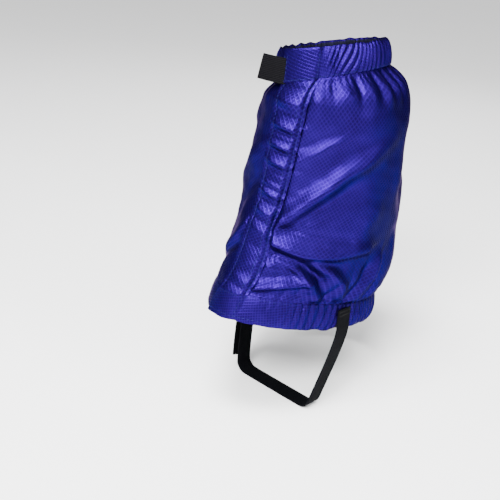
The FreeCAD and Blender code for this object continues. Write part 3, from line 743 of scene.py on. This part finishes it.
def closure_tapes():
    """Hook tape under the flap and loop tape on the panel, one facing the other."""
    for word, low, material, body in (("hook", 1.45, HOOK_TAPE, "front_wrap"),
                                      ("loop", 0.15, LOOP_TAPE, "sleeve")):
        def lay(across, along_it):
            height = BASE + 3 + (NECK - BASE - 6) * along_it
            free, seam = flap_edge(height) + 3.4, flap_seam(height) - 3.6
            x = free + (seam - free) * across
            ripple = 0.12 * waves(height, x, 71, 9)
            rim = -0.25 * smooth(0.06, 0.0, np.minimum(across, 1 - across))
            angle = angle_at_x(x, height)
            return sleeve(angle, height, low + 0.9 + ripple + rim), x * MM, height * MM

        item = cloth("closure_%s_tape_strip" % word, 16, 170, lay, 0.9, material)
        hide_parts("closure_%s_tape" % word)
        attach(item, body)


# ---- hems ---------------------------------------------------------------------------------


def hem_profile(share):
    """Round a casing: outside from seam to fold, then inside back to the seam."""
    outside = share < 0.5
    climb = np.where(outside, share / 0.5, (1 - share) / 0.5)
    fold = smooth(0.80, 1.0, climb)
    level = HEM * np.clip(climb, 0, 1)
    belly = np.sin(math.pi * np.clip(climb, 0, 1)) ** 0.7
    out = np.where(outside, 0.25 + 1.3 * belly, -0.55 - 1.45 * belly)
    middle = -0.15
    return level, out * (1 - fold) + (middle + (out - middle) * np.sqrt(
        np.clip(1 - fold, 0, 1))) * fold, outside


def hem(name, upper, right, material):
    """Half of a hem casing: the inner side with the flap's end, or the outer side."""
    seed = (41 if upper else 51) + (0 if right else 3)

    def lay(across, along_it):
        share = along_it if upper else 1 - along_it
        level, out, outside = hem_profile(share)
        height = NECK + level * RUFFLED if upper else BASE - level
        free = angle_at_x(flap_edge(height), height)
        seam = angle_at_x(flap_seam(height), height)
        if right:
            angle = free + (180.0 - free) * across
        else:
            end = seam - 6.0
            angle = -180.0 + (end + 180.0) * across
        arc = angle * ARC
        if upper:
            slant = 1.0 - 0.9 * smooth(45, 100, np.abs(angle))
            wander = 0.65 * waves(arc, level * 0.5, seed, 24)
            pleats = lobes((arc - slant * level) / 6.8 + wander) - 0.6
            fine = lobes((arc - slant * level) / 3.1 + 2 * wander) - 0.6
            crowd = smooth(2, 16, (angle - seam) * ARC) if right else \
                smooth(20, 27, (free - angle) * ARC)
            swell = crowd * (1.9 * pleats + 0.45 * fine)
            ruffle = 0.8 * crowd * waves(arc, 0 * arc, seed + 1, 8)
        else:
            wander = 0.5 * waves(arc, level * 0.4, seed, 20)
            pleats = lobes((arc + 0.1 * level) / 5.2 + wander) - 0.6
            fine = lobes(arc / 2.8 + 2 * wander) - 0.6
            crowd = smooth(25, 75, np.abs(angle))
            swell = 0.3 * waves(arc, level, seed + 2, 9) + crowd * (1.9 * pleats + 0.5 * fine)
            ruffle = (0.25 + 0.6 * crowd) * waves(arc, 0 * arc, seed + 1, 7)
        back = smooth(0.0, 6.0, (180.0 - np.abs(angle)) * ARC)
        swell, ruffle = swell * back, ruffle * back
        hug = 0.35 + 0.65 * np.sin(math.pi * np.clip(level / HEM, 0, 1)) ** 0.5
        out = out + swell * np.where(outside, 1.0, 0.5) * hug
        if right:
            # over the outer side's end the casing is one flat double layer, level with the flap
            over = smooth(-2.0, 5.0, (seam - angle) * ARC)
            flat_out = np.where(outside, 3.95 if upper else 3.5, 3.3 if upper else 2.9)
            out = out * (1 - over) + flat_out * over
        else:
            under = smooth(-3.0, 5.0, (angle - free) * ARC)
            out = out * (1 - under) + np.where(outside, 1.1, -0.6) * under
        tip = smooth(0.5, 1.0, level / HEM)
        height = height + (ruffle * tip if upper else -ruffle * tip)
        return sleeve(angle, height, out), arc * MM, share * 2 * HEM * MM

    item = cloth(name, 300, 56, lay, CLOTH_THICK, material)
    item.data.materials[1] = NEAR_BLACK_FACE
    inner = MM * HEM * 1.06
    layer = item.data.uv_layers[0].data
    for face in item.data.polygons:
        face.material_index = 1 if layer[face.loop_start].uv[1] > inner else 0
    return item


def hems():
    for upper, word, cut_right, cut_left in ((True, "top", (0.150, 0.046), (0.185, 0.046)),
                                             (False, "bottom", (0.245, 0.041), (0.245, 0.041))):
        right = hem(word + "_hem_right", upper, True, HEM_CLOTH)
        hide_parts(word + "_hem_front")
        if upper:
            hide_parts("top_flap_end")
        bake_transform(right)
        left = hem(word + "_hem_left", upper, False, HEM_CLOTH)
        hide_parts(word + "_hem")
        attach(left, "sleeve")
        levels = (NECK + 1.3,) if upper else (BASE - 1.3, EDGE + 3.4)
        for number, level in enumerate(levels):
            free = float(angle_at_x(flap_edge(level) + 1.0, np.asarray(level)))
            arc = (180.0 - free) * 0.75
            stitch_line(right, lambda t: (free + (179.0 - free) * t, level), arc, BOTH,
                        "%s_hem_right_stitches_%d" % (word, number), 2.6)
            stitch_line(left, lambda t: (-179.0 + (free + 176.0) * t, level), arc, "sleeve",
                        "%s_hem_left_stitches_%d" % (word, number), 2.6)
        bottom, top = (NECK, RIM) if upper else (EDGE, BASE)
        for number, inset in enumerate((1.0, 3.6)):
            stitch_line(right, lambda t: at_x(flap_edge(bottom + HEM * t) + inset,
                                              bottom + 1.5 + (HEM - 3) * t),
                        17, "front_wrap", "%s_flap_end_stitches_%d" % (word, number))
        stitch_line(right, lambda t: at_x(flap_seam(bottom + HEM * t) - 1.0,
                                          bottom + 1.5 + (HEM - 3) * t),
                    17, "front_wrap", "%s_flap_seam_stitches" % word)


def elastics():
    """The elastic in each casing, one band that is modelled as two halves."""
    for upper, word in ((True, "top"), (False, "bottom")):
        for right in (True, False):
            def lay(across, along_it):
                level = HEM * (0.16 + 0.66 * along_it)
                height = NECK + level if upper else BASE - HEM + level
                seam = angle_at_x(flap_seam(height), height) + 3.0
                angle = seam + (180.0 - seam) * across if right else \
                    -180.0 + (seam - 12.0 + 180.0) * across
                return (sleeve(angle, height, 0 * angle + 0.1), angle * ARC * MM,
                        height * MM)

            item = cloth("%s_elastic_%s" % (word, "right" if right else "left"),
                         120, 10, lay, 1.0, ELASTIC)
            if right:
                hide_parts(word + "_elastic_front")
                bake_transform(item)
            else:
                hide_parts(word + "_elastic")
                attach(item, "sleeve")


def back_seam():
    def lay(across, along_it):
        height = BASE + 1 + (NECK - BASE - 2) * along_it
        angle = 180.0 + (across - 0.5) * 12.0 / 0.95
        lift = at_back_seam(0 * angle, np.minimum(angle, 360.0 - angle), height)
        return sleeve(angle, height, lift - 1.3), across * 0.012, height * MM

    item = cloth("back_seam_binding", 10, 120, lay, 0.5, BINDING)
    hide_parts("back_seam_tape")
    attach(item, "sleeve")


# ---- webbing ------------------------------------------------------------------------------


def ribbon(name, centres, sides, width, thickness, material):
    """Webbing laid along a line of points, each with a sideways direction."""
    centres, sides = np.asarray(centres, float), np.asarray(sides, float)
    sides = sides / np.linalg.norm(sides, axis=1)[:, None]
    steps = np.linalg.norm(np.diff(centres, axis=0), axis=1)
    lengths = np.concatenate([[0], np.cumsum(steps)])
    tangents = np.gradient(centres, axis=0)
    normals = np.cross(sides, tangents)
    normals /= np.linalg.norm(normals, axis=1)[:, None]

    def lay(across, along_it):
        index = np.rint(along_it * (len(centres) - 1)).astype(int)
        out = (across - 0.5) * (width - 0.4)
        # the woven edges lie a little lower than the middle
        crown = -0.16 * thickness * (np.abs(across - 0.5) * 2) ** 6
        points = centres[index] + sides[index] * out[:, None] \
            + normals[index] * crown[:, None]
        return points * MM, lengths[index] * MM, out * MM

    item = cloth(name, 14, len(centres) - 1, lay, thickness, material, centred=True)
    only(item)
    bpy.ops.object.mode_set(mode="EDIT")
    bpy.ops.mesh.select_all(action="SELECT")
    bpy.ops.mesh.normals_make_consistent(inside=False)
    bpy.ops.object.mode_set(mode="OBJECT")
    apply(item, "BEVEL", width=0.28 * MM, segments=2, limit_method="ANGLE",
          angle_limit=math.radians(50))
    shade(item, 50)
    return item


def smooth_path(points, spacing=1.0, rounding=3):
    """Evenly spaced points along a line whose corners are eased."""
    line = np.array(points, float)
    for _ in range(rounding):
        quarters = (line[:-1] * 3 + line[1:]) / 4, (line[:-1] + line[1:] * 3) / 4
        line = np.concatenate([line[:1], np.stack(quarters, 1).reshape(-1, line.shape[1]),
                               line[-1:]])
    steps = np.linalg.norm(np.diff(line[:, :3], axis=0), axis=1)
    place = np.concatenate([[0], np.cumsum(steps)])
    count = max(2, int(place[-1] / spacing) + 1)
    wanted = np.linspace(0, place[-1], count)
    return np.stack([np.interp(wanted, place, line[:, k]) for k in range(line.shape[1])], 1)


STRAP_WIDTH, STRAP_THICK = 15.0, 1.4
LOOP_THICK = 1.2               # the lock's own webbing and the rim tab's
SEWN = 18.0                    # mm that sewn ends reach up the lower hem
TAIL = 31.0                    # mm of the strap's end that hangs below the lock
HEM_FACE = 49.9                # where webbing lies on the lower hem
STRAP_TOP_Y, STRAP_TOP_Z = 15.0, 71.0
SOLE_HALF, SOLE_CORNER = 41.0, 9.0
LEG_FACE = HEM_FACE + STRAP_THICK + 0.5
RUN_X, RUN_Z = LEG_FACE - (SOLE_HALF - SOLE_CORNER), STRAP_TOP_Z - SOLE_CORNER
SPREAD = math.acos(SOLE_CORNER / math.hypot(RUN_X, RUN_Z)) - math.atan2(RUN_Z, RUN_X)
LEG = math.sqrt(RUN_X ** 2 + RUN_Z ** 2 - SOLE_CORNER ** 2)
LEG_LENGTH = math.hypot(LEG, STRAP_TOP_Y)
FORWARD = math.atan2(STRAP_TOP_Y, LEG)
LEG_FOOT = Vector((SOLE_HALF - SOLE_CORNER + SOLE_CORNER * math.cos(SPREAD), 0,
                   SOLE_CORNER - SOLE_CORNER * math.sin(SPREAD)))


def leg_frame(side):
    """A leg's own axes: x out of the strap's face, z up the leg; side is 1 or -1."""
    matrix = Matrix.Translation(LEG_FOOT) @ Matrix.Rotation(SPREAD, 4, "Y") \
        @ Matrix.Rotation(-FORWARD * side, 4, "X")
    return matrix if side > 0 else Matrix.Rotation(math.pi, 4, "Z") @ matrix


def on_leg(side, x, y, z):
    return tuple(leg_frame(side) @ Vector((x, y, z)))


LOCK_DROP, LOCK_HEIGHT, LOCK_THICK, LOCK_BAR, LOCK_SLOT = 12.0, 21.0, 3.0, 3.0, 5.4
SLOT_ROOM, LOCK_SIDE = 0.4, 2.6
LOCK_TOP = LEG_LENGTH - LOCK_DROP
LOCK_LOW = LOCK_TOP - LOCK_HEIGHT
TURN_IN = math.hypot(LOCK_THICK, LOCK_BAR) / 2 + 0.2
LOCK_MID = TURN_IN + STRAP_THICK
MID_BAR_TOP = LOCK_TOP - LOCK_BAR - LOCK_SLOT


def sole_corner(half):
    """The strap's turn under the sole, on the inner side."""
    route = []
    for turn in (0.15, 0.4, 0.65, 0.9):
        angle = (math.pi / 2 - SPREAD) * turn + SPREAD
        route.append((SOLE_HALF - SOLE_CORNER + (SOLE_CORNER + half) * math.cos(angle), 0,
                      SOLE_CORNER - (SOLE_CORNER + half) * math.sin(angle)))
    return route + [(20, 0, -half)]


def across_leg(path):
    """The webbing's sideways direction: fore and aft, square to its run."""
    tangents = np.gradient(path, axis=0)
    return np.cross(tangents, np.cross(np.tile((0.0, 1.0, 0.0), (len(path), 1)), tangents))


def strap():
    """The instep strap: sewn flat on the hem, down the leg and under the sole."""
    half = STRAP_THICK / 2
    face = HEM_FACE + half
    route = [(face, STRAP_TOP_Y, STRAP_TOP_Z + SEWN), (face, STRAP_TOP_Y, STRAP_TOP_Z + 6),
             (face + 0.5, STRAP_TOP_Y, STRAP_TOP_Z + 1),
             on_leg(1, half, 0, LEG_LENGTH - 10), on_leg(1, half + 0.5, 0, LEG_LENGTH * 0.55),
             on_leg(1, half, 0, 4)]
    route += sole_corner(half) + [(-20, 0, -half)]
    path = smooth_path(route)
    item = ribbon("instep_strap_webbing", path, across_leg(path), STRAP_WIDTH, STRAP_THICK, STRAP)
    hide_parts("instep_strap", "strap_anchor")
    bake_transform(item)


def lock_webbing():
    """The strap's outer leg, through the lock with its tail, and the lock's own loop."""
    half = STRAP_THICK / 2
    ring = TURN_IN + half
    turn_z = MID_BAR_TOP - LOCK_BAR / 2
    route = [(-x, y, z) for x, y, z in sole_corner(half)[::-1]]
    route += [on_leg(-1, half, 0, 4), on_leg(-1, half, 0, LOCK_LOW * 0.6),
              on_leg(-1, half, 0, LOCK_LOW - 4), on_leg(-1, LOCK_MID - ring, 0, turn_z)]
    for k in range(1, 8):
        angle = math.pi * (1 - k / 8)
        route.append(on_leg(-1, LOCK_MID + ring * math.cos(angle), 0,
                            turn_z + ring * math.sin(angle)))
    route += [on_leg(-1, LOCK_MID + ring, 0, turn_z),
              on_leg(-1, LOCK_MID + ring + 0.2, 0, LOCK_LOW),
              on_leg(-1, LOCK_MID + ring + 0.5, 0, LOCK_LOW - TAIL / 2 + 0.5),
              on_leg(-1, LOCK_MID + ring + 0.1, 0, LOCK_LOW - TAIL)]
    path = smooth_path(route, 0.8, 2)
    item = ribbon("strap_end_webbing", path, across_leg(path), STRAP_WIDTH, STRAP_THICK, STRAP)
    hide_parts("strap_thread", "strap_tail")
    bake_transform(item)

    ring = TURN_IN + LOOP_THICK / 2
    turn_z = LOCK_TOP - LOCK_BAR / 2
    top = STRAP_TOP_Z + SEWN
    face = -(HEM_FACE + LOOP_THICK / 2)
    route = [(face, STRAP_TOP_Y, top), (face, STRAP_TOP_Y, STRAP_TOP_Z + 5),
             on_leg(-1, LOCK_MID - ring, 0, LEG_LENGTH - 4),
             on_leg(-1, LOCK_MID - ring, 0, turn_z + 1)]
    for k in range(0, 9):
        angle = math.pi * (1 + k / 8)
        route.append(on_leg(-1, LOCK_MID + ring * math.cos(angle), 0,
                            turn_z + ring * math.sin(angle)))
    route += [on_leg(-1, LOCK_MID + ring, 0, turn_z + 2),
              on_leg(-1, LOCK_MID + ring * 0.6, 0, LEG_LENGTH - 4),
              (face - LOOP_THICK - 0.2, STRAP_TOP_Y, STRAP_TOP_Z + 5),
              (face - LOOP_THICK - 0.1, STRAP_TOP_Y, top - 2)]
    path = smooth_path(route, 0.8, 2)
    loop = ribbon("lock_loop_webbing", path, across_leg(path), STRAP_WIDTH, LOOP_THICK, STRAP)
    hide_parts("lock_tab", "lock_tab_anchor")
    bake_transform(loop)


TAB_LOWER = 6.4                # mm down the fold's line from the casing's middle
TAB_WIDTH = 19.0
TAB_LONGER = 1.2
TAB_RISE = 0.9                 # mm that its end stands higher than its root
TAB_SLANT = 0.14               # how far its cut end leans


def tab_fold():
    """A point on the rim tab's fold, in mm, and the fold's direction."""
    joint = next(j for j in frame["joints"] if j["name"] == "tab_fold")
    return np.array(joint["pos_m"]) / MM, np.array(joint["axis"])


def top_tab():
    """The rim tab: webbing that comes out from behind the flap, with its end heat-cut."""
    node = frame["nodes"]["top_tab"]
    corners = np.array([v.co for v in node.data.vertices]) / MM
    place, up = tab_fold()
    hinge = place - up * TAB_LOWER
    middle_height = (NECK + RIM) / 2 - TAB_LOWER
    far = corners[np.argsort(corners[:, 0])[:4]].mean(0)
    out = far - hinge
    out = out - up * out.dot(up)
    length = np.linalg.norm(out)
    out = out / length
    length = length + TAB_LONGER
    inward = np.cross(out, up)
    inward = inward if inward[1] > 0 else -inward
    route = [hinge + inward * 0.6 - out * 0.5]
    for share in (0.15, 0.35, 0.6, 0.85, 1.0):
        bow = 0.7 * math.sin(share * math.pi)
        route.append(hinge + inward * (0.6 - bow) + out * length * share
                     + up * TAB_RISE * share)
    sewn = []
    for back in (12.0, 9.0, 6.0, 3.0):
        x = float(flap_edge(middle_height)) + 3.0 + back
        angle = angle_at_x(x, np.array(middle_height))
        sewn.append(sleeve(angle, middle_height, 2.4) / MM)
    path = smooth_path(np.array(sewn + route), 0.8, 2)
    reach = np.clip((path - hinge) @ out / length, 0, 1)[:, None]
    item = ribbon("rim_tab_webbing", path, up - out * TAB_SLANT * reach, TAB_WIDTH, LOOP_THICK,
                  WEBBING)
    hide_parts("top_tab", "tab_sewn_end")
    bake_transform(item)


# ---- hardware -----------------------------------------------------------------------------


def cube(name, low, high, matrix):
    """A box between two corners of a local frame, in mm, as a mesh of its own."""
    deselect()
    low, high = Vector(low), Vector(high)
    bpy.ops.mesh.primitive_cube_add(size=1)
    item = bpy.context.object
    item.name = item.data.name = name
    size = high - low
    scale = Matrix.Diagonal((size.x, size.y, size.z, 1))
    item.data.transform(Matrix.Scale(MM, 4) @ matrix @ Matrix.Translation((low + high) / 2)
                        @ scale)
    return item


def carve(item, tools):
    for tool in tools:
        apply(item, "BOOLEAN", operation="DIFFERENCE", object=tool, solver="EXACT")
        bpy.data.objects.remove(tool, do_unlink=True)


def ladder_lock():
    matrix = leg_frame(-1)
    slot = STRAP_WIDTH / 2 + SLOT_ROOM
    half = slot + LOCK_SIDE
    low_x, high_x = LOCK_MID - LOCK_THICK / 2, LOCK_MID + LOCK_THICK / 2
    item = cube("ladder_lock_frame", (low_x, -half, LOCK_LOW), (high_x, half, LOCK_TOP), matrix)
    carve(item, [
        cube("slot_a", (low_x - 9, -slot, MID_BAR_TOP), (high_x + 9, slot, LOCK_TOP - LOCK_BAR),
             matrix),
        cube("slot_b", (low_x - 9, -slot, LOCK_LOW + LOCK_BAR),
             (high_x + 9, slot, MID_BAR_TOP - LOCK_BAR), matrix)])
    apply(item, "BEVEL", width=0.55 * MM, segments=3, limit_method="ANGLE",
          angle_limit=math.radians(40))
    shade(item, 40)
    item.data.materials.clear()
    item.data.materials.append(LOCK)
    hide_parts("ladder_lock")
    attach(item, "lock")


def hook_loop():
    """The short webbing loop that holds the lace hook inside the lower hem."""
    low, high = (np.array(c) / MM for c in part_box("hook_tab"))
    middle, around = (low[0] + high[0]) / 2, high[1] - 2.45
    level, ring = (high[2] + low[2]) / 2, 1.85
    route = [(middle, low[1] + 0.3, level + 2.0), (middle, around - 2, level + ring)]
    for step in range(9):
        turn = math.pi / 2 - math.pi * step / 8
        route.append((middle, around + ring * math.cos(turn), level + ring * math.sin(turn)))
    route += [(middle, around - 1.4, level - 1.6), (middle, around - 3.0, level + 0.2),
              (middle, low[1] + 0.3, level + 0.7)]
    path = smooth_path(route, 0.5, 2)
    item = ribbon("hook_loop_webbing", path, np.tile((1.0, 0, 0), (len(path), 1)), 8.0, 1.0,
                  WEBBING)
    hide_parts("hook_tab")
    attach(item, "front_wrap")


def patches():
    """Hook patch on the tab's inner face, loop patch on the hem beside the opening."""
    up = tab_fold()[1]
    for word, node, body, material in (
            ("hook", "tab_hook_patch", "tab", HOOK_TAPE),
            ("loop", "tab_loop_patch", "sleeve", LOOP_TAPE)):
        points = np.array([v.co for v in frame["nodes"][node].data.vertices])
        centre = points.mean(0)
        _, _, axes = np.linalg.svd(points - centre)
        out = axes[2] if axes[2][1] < 0 else -axes[2]
        if word == "hook":
            out = -out
        tall = up - out * up.dot(out)
        tall /= np.linalg.norm(tall)
        wide = np.cross(tall, out)
        half_wide = np.abs((points - centre) @ wide).max() - 0.0003
        half_tall = np.abs((points - centre) @ tall).max() - 0.0003

        def lay(across, along_it):
            a, b = (across * 2 - 1), (along_it * 2 - 1)
            edge = 1 - smooth(0.86, 1.0, np.maximum(np.abs(a), np.abs(b)))
            if word == "hook":
                face = centre[None, :] + out * (0.0001 + 0.00025 * edge)[:, None] \
                    - up * TAB_LOWER * MM
                laid = face + wide * (a * half_wide)[:, None] + tall * (b * half_tall)[:, None]
            else:
                height = (NECK + RIM) / 2 - 1.0 + b * 7.4
                x = (centre[0] / MM) + a * half_wide / MM * 0.97
                laid = sleeve(angle_at_x(x, height), height, 2.15 + 0.3 * edge)
            return laid, a * half_wide, b * half_tall

        item = cloth("tab_%s_patch_piece" % word, 24, 24, lay, 0.5, material)
        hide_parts(node)
        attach(item, body)


TACK_STITCHES = 24


def bar_tacks():
    """Dense zigzag tacks that hold the strap's and the lock loop's sewn ends on the hem."""
    for side, thick, word in ((1, STRAP_THICK, "strap"), (-1, 2.7, "lock_loop")):
        places = []
        face = side * (HEM_FACE + thick + 0.1)
        for height in (STRAP_TOP_Z + 12.8, STRAP_TOP_Z + 16.2):
            for step in range(TACK_STITCHES):
                y = STRAP_TOP_Y - 6.0 + 12.0 * step / (TACK_STITCHES - 1)
                lean = 0.25 if step % 2 else -0.25
                ahead = np.array((0.0, lean, 1.0))
                places.append((np.array((face, y, height)) * MM, ahead / np.linalg.norm(ahead),
                               np.array((float(side), 0.0, 0.0))))
        item = lay_stitches(word + "_bar_tacks", places, BLACK_THREAD, 1.5, 0.34)
        if side > 0:
            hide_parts("strap_bar_tacks")
        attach(item, "sleeve")


def keep_cad(names, material):
    """CAD nodes whose shape is right get their own finish."""
    for name in names:
        node = frame["nodes"][name]
        node.data.materials.clear()
        node.data.materials.append(material)


# ---- camera, light and floor --------------------------------------------------------------


def look():
    azimuth, elevation, roll = math.radians(44.0), math.radians(22.3), math.radians(-4.0)
    back = Vector((math.sin(azimuth) * math.cos(elevation),
                   -math.cos(azimuth) * math.cos(elevation), math.sin(elevation)))
    right = Vector((math.cos(azimuth), math.sin(azimuth), 0))
    up = back.cross(right)
    x_axis = right * math.cos(roll) - up * math.sin(roll)
    y_axis = right * math.sin(roll) + up * math.cos(roll)
    data = bpy.data.cameras.new("camera")
    data.sensor_width = 36.0
    data.lens = 57.8
    camera = bpy.data.objects.new("camera", data)
    bpy.context.collection.objects.link(camera)
    turn = Matrix((x_axis, y_axis, back)).transposed().to_4x4()
    camera.matrix_world = Matrix.Translation((0.391, -0.449, 0.367)) @ turn
    bpy.context.scene.camera = camera


def lamp(name, place, target, size, power):
    data = bpy.data.lights.new(name, "AREA")
    data.shape = "RECTANGLE"
    data.size, data.size_y = size
    data.energy = power
    item = bpy.data.objects.new(name, data)
    bpy.context.collection.objects.link(item)
    item.location = place
    item.rotation_euler = (Vector(target) - Vector(place)).to_track_quat("-Z", "Y").to_euler()


def studio():
    target = (0.0, 0.03, 0.17)
    lamp("key", (0.48, -0.95, 1.02), target, (0.6, 0.35), 56.0)
    lamp("top", (0.12, -0.42, 1.28), target, (0.5, 0.3), 34.0)
    lamp("side", (1.3, 0.2, 0.75), target, (0.4, 0.6), 12.0)
    lamp("rear", (-0.7, 1.1, 0.9), target, (0.7, 0.7), 5.0)
    data = bpy.data.lights.new("overhead", "SUN")
    data.energy = 3.0
    data.angle = math.radians(50)
    sky = bpy.data.objects.new("overhead", data)
    bpy.context.collection.objects.link(sky)
    sky.rotation_euler = Vector((-0.25, 0.35, -1.0)).to_track_quat("-Z", "Y").to_euler()
    world = bpy.data.worlds.new("studio")
    bpy.context.scene.world = world
    world.use_nodes = True
    world.node_tree.nodes["Background"].inputs[0].default_value = (0.93, 0.94, 0.96, 1)
    world.node_tree.nodes["Background"].inputs[1].default_value = 0.20
    deselect()
    bpy.ops.mesh.primitive_plane_add(size=40, location=(0, 0, -0.0016))
    floor = bpy.context.object
    floor.name = "floor"
    n = Nodes("floor paper", Roughness=0.9)
    tone = n.noise(n.place(), 3.0, 2.0, 0.5)
    floor.data.materials.append(n.finish(n.mix(tone, (0.95, 0.95, 0.955, 1),
                                               (0.97, 0.97, 0.975, 1))))


look()
studio()
right_side()
left_side()
flap()
closure_tapes()
hems()
elastics()
back_seam()
strap()
lock_webbing()
top_tab()
ladder_lock()
hook_loop()
patches()
bar_tacks()
keep_cad(("lace_hook",), STEEL)
